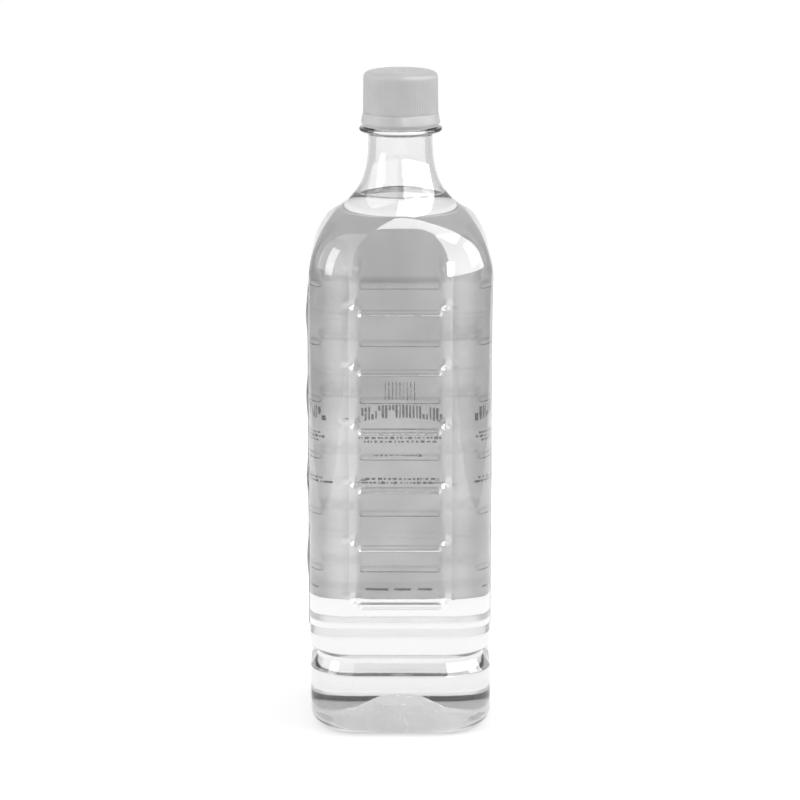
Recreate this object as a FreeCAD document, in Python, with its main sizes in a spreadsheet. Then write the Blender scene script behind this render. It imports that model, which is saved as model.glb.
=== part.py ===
import FreeCAD, Part
import math
import os
import Sketcher

# A one-litre square PET bottle of clear herbal distillate, closed with a screw cap and carrying a
# loose wrap label on its back and sides. Millimetres, +Z up, the front face looks along -Y and the
# origin is the centre of the ring that the bottle stands on.
#
# Four pieces: the bottle (one blown wall), the liquid in it, the cap and the label.

SLOTS_PER_FACE = 6
FACES = 4
SHOULDER_LEVELS = 8
FLARE_LEVELS = 7
SWELLS = 4
GRIP_RIBS = 120

# alias, size in millimetres, what it is
DRIVING_SIZES = (
    ("body_half_width", 36.5, "from the axis to a flat face of the body"),
    ("side_flat", 17.7, "half of the straight part of a face, between two rounded corners"),
    ("shoulder_bottom", 187.0, "height of the body, up to where the faces start to lean in"),
    ("shoulder_height", 23.4, "from there up to where the shoulder has become round"),
    ("joint_radius", 25.4, "radius of the bottle there, where shoulder and neck meet"),
    ("neck_height", 31.0, "from the shoulder up to the support ring"),
    ("finish_height", 21.6, "from the underside of the support ring up to the rim of the mouth"),
    ("wall", 0.6, "wall of the blown body"),
    ("heel_radius", 7.5, "rounding between the body's wall and its underside"),
    ("standing_width", 6.0, "flat ring that the bottle stands on, between heel and raised middle"),
    ("push_up_slope", 12.7, "run of the slope of the raised middle of the underside"),
    ("push_up_height", 6.5, "rise of the middle of the underside"),
    ("waist_bottom", 25.5, "lower edge of the waist groove"),
    ("waist_foot_rise", 5.7, "from there up to where the groove is deepest"),
    ("waist_lip_rise", 3.4, "from the deepest place up to the groove's upper edge"),
    ("waist_depth", 3.0, "waist groove"),
    ("waist_floor", 2.0, "height of the round bottom of the waist groove"),
    ("waist_floor_radius", 2.0, "rounding of the waist groove's bottom"),
    ("waist_lip_radius", 0.8, "rounding of the waist groove's upper edge"),
    ("waist_foot_radius", 3.0, "rounding of the waist groove's lower edge"),
    ("slot_end_margin", 0.9, "from the end of a stiffening slot to the start of the corner"),
    ("slot_height", 3.0, "slot, at the face"),
    ("slot_depth", 0.6, "slot"),
    ("slot_wall_slope", 40.0, "degrees that the slot's walls lean out"),
    ("slots_above_waist", 20.5, "from the waist groove up to the lowest slot's middle"),
    ("slots_below_shoulder", 12.4, "from the highest slot's middle up to the shoulder"),
    ("bore_radius", 10.85, "inside of the neck"),
    ("neck_wall", 2.0, "wall under the support ring"),
    ("finish_wall", 1.65, "wall of the mouth"),
    ("ring_thickness", 1.5, "support ring"),
    ("ring_overhang", 0.7, "how far the support ring stands out beyond the tamper band"),
    ("ring_rounding", 0.5, "support ring's two edges"),
    ("bead_above_ring", 2.7, "from the support ring up to the bead that holds back the band"),
    ("bead_height", 1.8, "bead"),
    ("bead_clearance", 0.7, "between the bead and the foot of the tamper band"),
    ("bead_chamfer", 1.0, "slope of the bead's upper side, over which the band snaps"),
    ("liquid_above_shoulder", 6.9, "from the top of the shoulder up to the liquid's surface"),
    ("cap_top_thickness", 2.0, "cap's top, over the rim of the mouth"),
    ("cap_wall", 1.2, "cap's skirt"),
    ("thread_room", 1.3, "between the mouth and the cap's skirt, where the thread runs"),
    ("skirt_lean", 0.25, "how much narrower the skirt is at its top than at its foot"),
    ("cap_edge_radius", 2.1, "corner between the cap's top and its skirt"),
    ("cap_edge_rounding", 2.0, "rounding of that corner"),
    ("cap_disc_step", 0.15, "how far the disc on top of the cap stands up"),
    ("rib_groove_depth", 0.15, "groove between two grip ribs, at its upper end"),
    ("rib_groove_width", 0.5, "groove between two grip ribs, at the skirt's foot"),
    ("rib_foot", 1.2, "smooth stretch under the grip ribs"),
    ("score_above_bead", 1.3, "from the bead up to the cut between skirt and tamper band"),
    ("score_width", 0.5, "cut"),
    ("score_depth", 0.3, "cut"),
    ("band_flare", 0.8, "how much wider the tamper band is than the skirt's foot"),
    ("band_wall", 1.0, "tamper band"),
    ("band_edge", 1.5, "height of the drawn-in lower edge of the tamper band"),
    ("band_draw_in", 0.5, "how far that edge is drawn in"),
    ("ring_clearance", 0.5, "between the support ring and the tamper band"),
    ("gate_radius", 2.2, "dimple in the middle of the cap"),
    ("gate_depth", 0.3, "dimple in the middle of the cap"),
    ("label_above_waist", 7.4, "from the waist groove up to the label"),
    ("label_thickness", 0.2, "film"),
    ("label_gap", 0.05, "between the body's face and the film where it lies close"),
    ("label_set_back", 1.2, "from the front end of a side's straight part back to the film"),
    ("swell_rise", 1.1, "how far a loose swell of the film stands off"),
    ("swell_length", 20.0, "height of a swell"),
    ("swells_above_foot", 28.5, "from the label's lower edge up to the lowest swell's middle"),
    ("swells_below_top", 16.3, "from the highest swell's middle up to the label's upper edge"),
)

# alias, how it follows from the other sizes, what it is
WORKED_OUT_SIZES = (
    ("shoulder_top", "shoulder_bottom + shoulder_height", "height where the neck starts"),
    ("ring_bottom", "shoulder_top + neck_height", "underside of the support ring"),
    ("finish_top", "ring_bottom + finish_height", "rim of the mouth"),
    ("cap_top", "finish_top + cap_top_thickness", "height of the closed bottle"),
    ("push_up_radius", "body_half_width - heel_radius - standing_width", "raised middle's rim"),
    ("push_up_top_radius", "push_up_radius - push_up_slope", "raised middle's flat top"),
    ("waist_middle", "waist_bottom + waist_foot_rise", "height where the groove is deepest"),
    ("waist_top", "waist_middle + waist_lip_rise", "upper edge of the waist groove"),
    ("slot_length", "2 * (side_flat - slot_end_margin)", "slot, over its round ends"),
    ("lowest_slot", "waist_top + slots_above_waist", "height of the lowest slot's middle"),
    ("slot_rise", "shoulder_bottom - slots_below_shoulder - lowest_slot",
     "from the lowest slot to the highest"),
    ("neck_radius", "bore_radius + neck_wall", "outside of the neck under the support ring"),
    ("finish_radius", "bore_radius + finish_wall", "outside of the mouth, inside the cap"),
    ("cap_radius", "finish_radius + thread_room + cap_wall", "skirt's foot"),
    ("cap_disc_radius", "cap_radius - skirt_lean - cap_edge_radius", "raised disc on the cap"),
    ("band_radius", "cap_radius + band_flare", "widest place of the tamper band"),
    ("ring_radius", "band_radius + ring_overhang", "support ring"),
    ("bead_radius", "band_radius - band_wall - bead_clearance", "bead"),
    ("bead_bottom", "ring_bottom + ring_thickness + bead_above_ring", "underside of the bead"),
    ("score_height", "bead_bottom + bead_height + score_above_bead", "cut's lower side"),
    ("liquid_level", "shoulder_top + liquid_above_shoulder", "height of the liquid's surface"),
    ("label_front", "side_flat - label_set_back", "how far the film reaches forward of the axis"),
    ("label_bottom", "waist_top + label_above_waist", "lower edge of the label"),
    ("label_top", "shoulder_bottom", "upper edge of the label"),
    ("lowest_swell", "label_bottom + swells_above_foot", "height of the lowest swell's middle"),
    ("swell_pitch", f"(label_top - swells_below_top - lowest_swell) / {SWELLS - 1}",
     "from one swell to the next"),
)

# The shoulder and the neck are quarters of superellipses, with these powers. Each is followed this
# far towards the other: 0 is the level where the outline is upright, 1 where it would lie flat.
SHOULDER_POWER = 1.65
SHOULDER_SWEEP = 0.91
FLARE_POWER = 2.9
FLARE_SWEEP = 0.84
# The straight part of each face narrows to a pointed arch with this power of the height.
ARCH_POWER = 4
# What is left of the straight part where the shoulder becomes round.
LAST_FLAT = 0.1


def new_sheet(doc):
    """Put the sizes into a spreadsheet, one named cell for each: first the driving ones."""
    sheet = doc.addObject("Spreadsheet::Sheet", "Sizes")
    driving = [(alias, str(size), meaning) for alias, size, meaning in DRIVING_SIZES]
    worked_out = [(alias, f"={formula}", meaning) for alias, formula, meaning in WORKED_OUT_SIZES]
    for row, (alias, content, meaning) in enumerate(driving + worked_out, start=1):
        sheet.set(f"A{row}", alias)
        sheet.set(f"B{row}", content)
        sheet.set(f"C{row}", meaning)
        sheet.setAlias(f"B{row}", alias)
    doc.recompute()
    return sheet


def origin_feature(body, role):
    """Return the plane or axis of the body's own origin that has this role."""
    return next(item for item in body.Origin.OriginFeatures if item.Role == role)


def new_body(doc, name):
    body = doc.addObject("PartDesign::Body", name)
    body.Label = name
    return body


def new_sketch(body, name, plane="XY_Plane", offset="0"):
    """Attach an empty sketch to an origin plane, moved along the plane's normal by an expression."""
    sketch = body.newObject("Sketcher::SketchObject", name)
    sketch.AttachmentSupport = [(origin_feature(body, plane), "")]
    sketch.MapMode = "FlatFace"
    sketch.setExpression(".AttachmentOffset.Base.z", offset)
    return sketch


def bind(sketch, constraint_name, expression):
    sketch.setExpression(f".Constraints.{constraint_name}", expression)


def number(sketch, expression):
    """Work out an expression of the sheet's cells as a plain number."""
    value = sketch.evalExpression(expression)
    return float(getattr(value, "Value", value))


def rounded_square(body, name, height, half_width, flat):
    """Sketch a square with tangent round corners, centred on the axis.

    half_width and flat are expressions: the distance of a side from the axis, and half the length
    of its straight part.
    """
    sketch = new_sketch(body, name, offset=height)
    side = number(sketch, half_width)
    straight = number(sketch, flat)
    corner = side - straight
    quarter = math.pi / 2
    lines = []
    arcs = []
    for turn in range(FACES):
        spin = FreeCAD.Rotation(FreeCAD.Vector(0, 0, 1), 90 * turn)
        start = spin.multVec(FreeCAD.Vector(-straight, -side, 0))
        end = spin.multVec(FreeCAD.Vector(straight, -side, 0))
        centre = spin.multVec(FreeCAD.Vector(straight, -straight, 0))
        circle = Part.Circle(centre, FreeCAD.Vector(0, 0, 1), corner)
        lines.append(sketch.addGeometry(Part.LineSegment(start, end)))
        first = (turn - 1) * quarter
        arcs.append(sketch.addGeometry(Part.ArcOfCircle(circle, first, first + quarter)))
    for turn in range(FACES):
        sketch.addConstraint(Sketcher.Constraint("Tangent", lines[turn], 2, arcs[turn], 1))
        sketch.addConstraint(Sketcher.Constraint("Tangent", arcs[turn], 2, lines[(turn + 1) % FACES], 1))
    for arc in arcs[1:]:
        sketch.addConstraint(Sketcher.Constraint("Equal", arcs[0], arc))
    front, right, back, left = lines
    sketch.addConstraint(Sketcher.Constraint("Symmetric", front, 1, front, 2, -2))
    sketch.addConstraint(Sketcher.Constraint("Symmetric", right, 1, right, 2, -1))
    sketch.addConstraint(Sketcher.Constraint("Horizontal", back))
    sketch.addConstraint(Sketcher.Constraint("Vertical", left))
    sketch.addConstraint(Sketcher.Constraint("Equal", front, right))
    reach = sketch.addConstraint(Sketcher.Constraint("DistanceX", -1, 1, right, 1, side))
    sketch.renameConstraint(reach, "half_width")
    length = sketch.addConstraint(Sketcher.Constraint("DistanceX", front, 1, front, 2, 2 * straight))
    sketch.renameConstraint(length, "straight")
    bind(sketch, "half_width", half_width)
    bind(sketch, "straight", f"2 * ({flat})")
    return sketch


def circle_sketch(body, name, height, radius):
    """Sketch a circle about the axis."""
    sketch = new_sketch(body, name, offset=height)
    circle = Part.Circle(FreeCAD.Vector(0, 0, 0), FreeCAD.Vector(0, 0, 1), number(sketch, radius))
    ring = sketch.addGeometry(circle)
    sketch.addConstraint(Sketcher.Constraint("Coincident", ring, 3, -1, 1))
    size = sketch.addConstraint(Sketcher.Constraint("Radius", ring, number(sketch, radius)))
    sketch.renameConstraint(size, "radius")
    bind(sketch, "radius", radius)
    return sketch


def outline(sketch, corners, bulge=1):
    """Draw a closed chain of lines and arcs, each corner dimensioned from the origin.

    Each corner is (across, up, radius): two expressions for its place, and the radius expression of
    the arc that leads to the next corner, or None for a straight line. The arcs bulge to the right
    if bulge is 1, and to the left if it is -1.
    """
    places = [FreeCAD.Vector(number(sketch, across), number(sketch, up), 0)
              for across, up, radius in corners]
    starts = []
    for index, (across, up, radius) in enumerate(corners):
        start = places[index]
        end = places[(index + 1) % len(places)]
        if radius is None:
            edge = sketch.addGeometry(Part.LineSegment(start, end))
            starts.append((edge, 1, 2))
            continue
        size = number(sketch, radius)
        chord = end - start
        sagitta = size - math.sqrt(size ** 2 - chord.Length ** 2 / 4)
        crown = (start + end) * 0.5 + FreeCAD.Vector(bulge * sagitta, 0, 0)
        edge = sketch.addGeometry(Part.Arc(start, crown, end))
        anticlockwise = (end.y - start.y) * bulge > 0
        starts.append((edge, 1, 2) if anticlockwise else (edge, 2, 1))
        arc_size = sketch.addConstraint(Sketcher.Constraint("Radius", edge, size))
        sketch.renameConstraint(arc_size, f"arc{index}")
        bind(sketch, f"arc{index}", radius)
    for index, (edge, first, last) in enumerate(starts):
        next_edge, next_first, next_last = starts[(index + 1) % len(starts)]
        sketch.addConstraint(Sketcher.Constraint("Coincident", edge, last, next_edge, next_first))
        across, up, radius = corners[index]
        for axis, kind, expression in (("x", "DistanceX", across), ("y", "DistanceY", up)):
            distance = getattr(places[index], axis)
            if distance == 0:
                line = -2 if axis == "x" else -1
                sketch.addConstraint(Sketcher.Constraint("PointOnObject", edge, first, line))
                continue
            place = sketch.addConstraint(
                Sketcher.Constraint(kind, -1, 1, edge, first, distance))
            sketch.renameConstraint(place, f"{axis}{index}")
            bind(sketch, f"{axis}{index}", expression)
    return sketch


def slot_sketch(body, name, face_distance, height, length, opening):
    """Sketch an upright slot with round ends on the front face, at this height."""
    sketch = new_sketch(body, name, plane="XZ_Plane", offset=face_distance)
    radius = number(sketch, opening) / 2
    half = number(sketch, length) / 2 - radius
    level = number(sketch, height)
    quarter = math.pi / 2
    up = FreeCAD.Vector(0, 0, 1)
    right_end = Part.Circle(FreeCAD.Vector(half, level, 0), up, radius)
    left_end = Part.Circle(FreeCAD.Vector(-half, level, 0), up, radius)
    low = Part.LineSegment(
        FreeCAD.Vector(-half, level - radius, 0), FreeCAD.Vector(half, level - radius, 0))
    high = Part.LineSegment(
        FreeCAD.Vector(half, level + radius, 0), FreeCAD.Vector(-half, level + radius, 0))
    bottom = sketch.addGeometry(low)
    right = sketch.addGeometry(Part.ArcOfCircle(right_end, -quarter, quarter))
    top = sketch.addGeometry(high)
    left = sketch.addGeometry(Part.ArcOfCircle(left_end, quarter, 3 * quarter))
    ring = (bottom, right, top, left)
    for place, edge in enumerate(ring):
        following = ring[(place + 1) % len(ring)]
        sketch.addConstraint(Sketcher.Constraint("Tangent", edge, 2, following, 1))
    sketch.addConstraint(Sketcher.Constraint("Symmetric", bottom, 1, bottom, 2, -2))
    sizes = (
        ("radius", Sketcher.Constraint("Radius", right, radius), f"({opening}) / 2"),
        ("straight", Sketcher.Constraint("DistanceX", bottom, 1, bottom, 2, 2 * half),
         f"({length}) - ({opening})"),
        ("level", Sketcher.Constraint("DistanceY", -1, 1, right, 3, level), height),
    )
    for size_name, constraint, expression in sizes:
        index = sketch.addConstraint(constraint)
        sketch.renameConstraint(index, size_name)
        bind(sketch, size_name, expression)
    return sketch


def pad(body, name, sketch, length):
    feature = body.newObject("PartDesign::Pad", name)
    feature.Profile = sketch
    feature.setExpression("Length", length)
    return feature


def loft(body, name, sketches):
    feature = body.newObject("PartDesign::AdditiveLoft", name)
    feature.Profile = sketches[0]
    feature.Sections = sketches[1:]
    return feature


def edges_at(shape, height):
    """Name the edges that lie level at this height."""
    names = []
    for index, edge in enumerate(shape.Edges, start=1):
        box = edge.BoundBox
        if abs(box.ZMin - height) < 1e-6 and abs(box.ZMax - height) < 1e-6:
            names.append(f"Edge{index}")
    return names


def rims_of(shape, radius):
    """Name the round edges of this radius about the axis."""
    names = []
    for index, edge in enumerate(shape.Edges, start=1):
        if isinstance(edge.Curve, Part.Circle) and abs(edge.Curve.Radius - radius) < 1e-6:
            names.append(f"Edge{index}")
    return names


def walls(doc, body, inset, floor):
    """Build the upright part: a rounded square block with a rounded heel, standing on its floor."""
    sketch = rounded_square(body, body.Name + "WallOutline", floor,
                            f"Sizes.body_half_width - {inset}", "Sizes.side_flat")
    block = pad(body, body.Name + "Walls", sketch, f"Sizes.shoulder_bottom - {floor}")
    doc.recompute()
    heel = body.newObject("PartDesign::Fillet", body.Name + "Heel")
    heel.Base = (block, edges_at(block.Shape, number(sketch, floor)))
    heel.setExpression("Radius", f"Sizes.heel_radius - {inset}")
    return heel


def waist(doc, body, inset):
    """Sweep the groove between foot and body all round, then round its two edges."""
    face = f"Sizes.body_half_width - {inset}"
    deep = f"{face} - Sizes.waist_depth"
    path = rounded_square(body, body.Name + "WaistPath", "0", face, "Sizes.side_flat")
    profile = new_sketch(body, body.Name + "WaistProfile", plane="XZ_Plane",
                         offset="Sizes.side_flat")
    outline(profile, [
        (face, "Sizes.waist_bottom", None),
        (deep, "Sizes.waist_middle - Sizes.waist_floor / 2", "Sizes.waist_floor_radius"),
        (deep, "Sizes.waist_middle + Sizes.waist_floor / 2", None),
        (face, "Sizes.waist_top", None),
        (f"{face} + Sizes.waist_depth", "Sizes.waist_top", None),
        (f"{face} + Sizes.waist_depth", "Sizes.waist_bottom", None),
    ], bulge=-1)
    groove = body.newObject("PartDesign::SubtractivePipe", body.Name + "Waist")
    groove.Profile = profile
    groove.Spine = path
    doc.recompute()
    feature = groove
    for edge_name, height, radius in (("Lip", "Sizes.waist_top", "Sizes.waist_lip_radius"),
                                      ("Ledge", "Sizes.waist_bottom", "Sizes.waist_foot_radius")):
        rounded = body.newObject("PartDesign::Fillet", body.Name + edge_name)
        rounded.Base = (feature, edges_at(feature.Shape, number(profile, height)))
        rounded.setExpression("Radius", radius)
        doc.recompute()
        feature = rounded
    return feature


def superellipse(along, power):
    """Return the height of a quarter superellipse, 1 wide and 1 high, this far along its base."""
    return (1 - along ** power) ** (1 / power)


def shoulder(body, inset):
    """Loft the shoulder: the faces lean in along a curve and narrow to pointed arches."""
    sketches = []
    least = superellipse(SHOULDER_SWEEP, SHOULDER_POWER)
    for level in range(SHOULDER_LEVELS + 1):
        height = math.sin(math.pi / 2 * level / SHOULDER_LEVELS)
        share = (superellipse(SHOULDER_SWEEP * height, SHOULDER_POWER) - least) / (1 - least)
        arch = 1 - height ** ARCH_POWER
        width = (f"Sizes.joint_radius + {share} * (Sizes.body_half_width - Sizes.joint_radius)"
                 f" - {inset}")
        flat = f"{LAST_FLAT} + {arch} * (Sizes.side_flat - {LAST_FLAT})"
        at = f"Sizes.shoulder_bottom + {height} * (Sizes.shoulder_top - Sizes.shoulder_bottom)"
        sketches.append(rounded_square(
            body, f"{body.Name}ShoulderOutline{level}", at, width, flat))
    return loft(body, body.Name + "Shoulder", sketches)


def neck_flare(body, low_radius, high_radius):
    """Loft the neck: circles along a curve from the shoulder up to the support ring."""
    sketches = []
    least = superellipse(FLARE_SWEEP, FLARE_POWER)
    for level in range(FLARE_LEVELS + 1):
        depth = 1 - math.sin(math.pi / 2 * level / FLARE_LEVELS)
        share = (1 - superellipse(FLARE_SWEEP * depth, FLARE_POWER)) / (1 - least)
        radius = f"{high_radius} + {share} * ({low_radius} - {high_radius})"
        at = f"Sizes.ring_bottom - {depth} * (Sizes.ring_bottom - Sizes.shoulder_top)"
        sketches.append(circle_sketch(body, f"{body.Name}NeckCircle{level}", at, radius))
    return loft(body, body.Name + "NeckFlare", sketches)


def push_up(body, inset, floor):
    """Cut the raised middle of the underside as a flat-topped cone."""
    cone = body.newObject("PartDesign::SubtractiveCone", body.Name + "PushUp")
    cone.AttachmentSupport = [(origin_feature(body, "XY_Plane"), "")]
    cone.MapMode = "FlatFace"
    cone.setExpression(".AttachmentOffset.Base.z", floor)
    cone.setExpression("Radius1", f"Sizes.push_up_radius + {inset}")
    cone.setExpression("Radius2", f"Sizes.push_up_top_radius + {inset}")
    cone.setExpression("Height", "Sizes.push_up_height")
    return cone


def slots(doc, body, inset):
    """Cut the stiffening slots: one on the front face, then six up each of the four faces."""
    sketch = slot_sketch(
        body, body.Name + "SlotOutline", f"Sizes.body_half_width - {inset}", "Sizes.lowest_slot",
        f"Sizes.slot_length + {inset}", f"Sizes.slot_height + {inset}")
    doc.recompute()
    before = body.Shape.Volume
    slot = body.newObject("PartDesign::Pocket", body.Name + "Slot")
    slot.Profile = sketch
    slot.setExpression("Length", "Sizes.slot_depth")
    slot.setExpression("TaperAngle", "-Sizes.slot_wall_slope")
    doc.recompute()
    if body.Shape.Volume > before - 1:
        raise RuntimeError("the slot cut nothing")
    pattern = body.newObject("PartDesign::MultiTransform", body.Name + "Slots")
    up_the_face = body.newObject("PartDesign::LinearPattern", body.Name + "SlotColumn")
    up_the_face.Direction = (origin_feature(body, "Z_Axis"), [""])
    up_the_face.Occurrences = SLOTS_PER_FACE
    up_the_face.setExpression("Length", "Sizes.slot_rise")
    round_the_body = body.newObject("PartDesign::PolarPattern", body.Name + "SlotFaces")
    round_the_body.Axis = (origin_feature(body, "Z_Axis"), [""])
    round_the_body.Angle = 360
    round_the_body.Occurrences = FACES
    pattern.Originals = [slot]
    pattern.Transformations = [up_the_face, round_the_body]
    body.Tip = pattern
    return pattern


def blown_form(doc, name, inset, floor):
    """Build everything below the neck as one solid, smaller by the inset on every side."""
    body = new_body(doc, name)
    walls(doc, body, inset, floor)
    waist(doc, body, inset)
    shoulder(body, inset)
    doc.recompute()
    return body


def bottle_outside(doc):
    """Build the bottle's outside as a full solid, with its neck, ring and mouth."""
    body = blown_form(doc, "BottleOutside", "0", "0")
    neck_flare(body, f"(Sizes.joint_radius + {LAST_FLAT})", "Sizes.neck_radius")
    ring = circle_sketch(body, "RingOutline", "Sizes.ring_bottom", "Sizes.ring_radius")
    ring_pad = pad(body, "SupportRing", ring, "Sizes.ring_thickness")
    doc.recompute()
    rim = body.newObject("PartDesign::Fillet", "RingEdge")
    rim.Base = (ring_pad, rims_of(ring_pad.Shape, number(ring, "Sizes.ring_radius")))
    rim.setExpression("Radius", "Sizes.ring_rounding")
    finish = circle_sketch(body, "FinishOutline", "Sizes.ring_bottom", "Sizes.finish_radius")
    pad(body, "Finish", finish, "Sizes.finish_top - Sizes.ring_bottom")
    bead = circle_sketch(body, "BeadOutline", "Sizes.bead_bottom", "Sizes.bead_radius")
    bead_pad = pad(body, "Bead", bead, "Sizes.bead_height")
    doc.recompute()
    upper_edge = set(rims_of(bead_pad.Shape, number(bead, "Sizes.bead_radius")))
    upper_edge &= set(edges_at(bead_pad.Shape, number(bead, "Sizes.bead_bottom + Sizes.bead_height")))
    slope = body.newObject("PartDesign::Chamfer", "BeadSlope")
    slope.Base = (bead_pad, sorted(upper_edge))
    slope.setExpression("Size", "Sizes.bead_chamfer")
    push_up(body, "0", "0")
    slots(doc, body, "0")
    doc.recompute()
    return body


def bottle_inside(doc):
    """Build the space inside the bottle as a solid that runs out of its mouth."""
    body = blown_form(doc, "BottleInside", "Sizes.wall", "Sizes.wall")
    neck_flare(body, f"(Sizes.joint_radius + {LAST_FLAT} - Sizes.wall)", "Sizes.bore_radius")
    bore = circle_sketch(body, "BoreOutline", "Sizes.ring_bottom", "Sizes.bore_radius")
    pad(body, "Bore", bore, "Sizes.finish_top - Sizes.ring_bottom")
    push_up(body, "Sizes.wall", "Sizes.wall")
    slots(doc, body, "Sizes.wall")
    doc.recompute()
    return body


def bottle(doc, outside, inside):
    """Cut the space inside out of the full form, which leaves the bottle's one wall."""
    cut = doc.addObject("Part::Cut", "Bottle")
    cut.Base = outside
    cut.Tool = inside
    cut.Label = "bottle"
    return cut


def liquid(doc, inside):
    """Fill the space inside up to the level, by cutting off everything above it.

    The cutter is twice as wide as the body, so that it clears the shoulder's corners.
    """
    above = doc.addObject("Part::Cylinder", "AboveLevel")
    above.setExpression("Radius", "2 * Sizes.body_half_width")
    above.setExpression("Height", "Sizes.cap_top")
    above.setExpression(".Placement.Base.z", "Sizes.liquid_level")
    cut = doc.addObject("Part::Cut", "Liquid")
    cut.Base = inside
    cut.Tool = above
    cut.Label = "distillate"
    return cut


def cap(doc):
    """Turn the screw cap: disc, skirt, cut line and the flared tamper band, over a hollow."""
    body = new_body(doc, "cap")
    sketch = new_sketch(body, "CapProfile", plane="XZ_Plane")
    skirt_top = "Sizes.cap_disc_radius + Sizes.cap_edge_radius"
    shoulder_height = "Sizes.cap_top - Sizes.cap_disc_step"
    dimple = "Sizes.cap_top - Sizes.gate_depth"
    score_top = "Sizes.score_height + Sizes.score_width"
    score_bottom = "Sizes.cap_radius - Sizes.score_depth"
    band_bottom = "Sizes.ring_bottom + Sizes.ring_thickness + Sizes.ring_clearance"
    outline(sketch, [
        ("0", dimple, None),
        ("Sizes.gate_radius - Sizes.gate_depth", dimple, None),
        ("Sizes.gate_radius", "Sizes.cap_top", None),
        ("Sizes.cap_disc_radius", "Sizes.cap_top", None),
        ("Sizes.cap_disc_radius", shoulder_height, None),
        (skirt_top, shoulder_height, None),
        ("Sizes.cap_radius", score_top, None),
        (score_bottom, score_top, None),
        (score_bottom, "Sizes.score_height", None),
        ("Sizes.cap_radius", "Sizes.score_height", None),
        ("Sizes.band_radius", f"{band_bottom} + Sizes.band_edge", None),
        ("Sizes.band_radius - Sizes.band_draw_in", band_bottom, None),
        ("Sizes.band_radius - Sizes.band_wall", band_bottom, None),
        ("Sizes.cap_radius - Sizes.cap_wall", "Sizes.score_height", None),
        ("Sizes.cap_radius - Sizes.cap_wall", "Sizes.finish_top", None),
        ("0", "Sizes.finish_top", None),
    ])
    turned = body.newObject("PartDesign::Revolution", "CapTurned")
    turned.Profile = sketch
    turned.ReferenceAxis = (sketch, ["V_Axis"])
    turned.Angle = 360
    doc.recompute()
    edge = body.newObject("PartDesign::Fillet", "CapEdge")
    edge.Base = (turned, rims_of(turned.Shape, number(sketch, skirt_top)))
    edge.setExpression("Radius", "Sizes.cap_edge_rounding")
    doc.recompute()
    grip_ribs(doc, body, skirt_top, f"{score_top} + Sizes.rib_foot")
    return body


def grip_ribs(doc, body, skirt_top, foot_height):
    """Cut upright V grooves all round the skirt, which leaves the grip ribs between them."""
    sketch = new_sketch(body, "GrooveOutline", offset=foot_height)
    floor = f"{skirt_top} - Sizes.rib_groove_depth"
    mouth = "Sizes.cap_radius + Sizes.rib_groove_depth"
    outline(sketch, [
        (floor, "0", None),
        (mouth, "Sizes.rib_groove_width / 2", None),
        (mouth, "-Sizes.rib_groove_width / 2", None),
    ])
    doc.recompute()
    before = body.Shape.Volume
    groove = body.newObject("PartDesign::Pocket", "GripGroove")
    groove.Profile = sketch
    groove.Reversed = True
    groove.setExpression(
        "Length", f"Sizes.cap_top - Sizes.cap_edge_radius - ({foot_height})")
    doc.recompute()
    if body.Shape.Volume >= before:
        raise RuntimeError("the grip groove cut nothing")
    round_the_cap = body.newObject("PartDesign::PolarPattern", "GripGrooves")
    round_the_cap.Axis = (origin_feature(body, "Z_Axis"), [""])
    round_the_cap.Angle = 360
    round_the_cap.Occurrences = GRIP_RIBS
    round_the_cap.Originals = [groove]
    body.Tip = round_the_cap
    return round_the_cap


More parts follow.
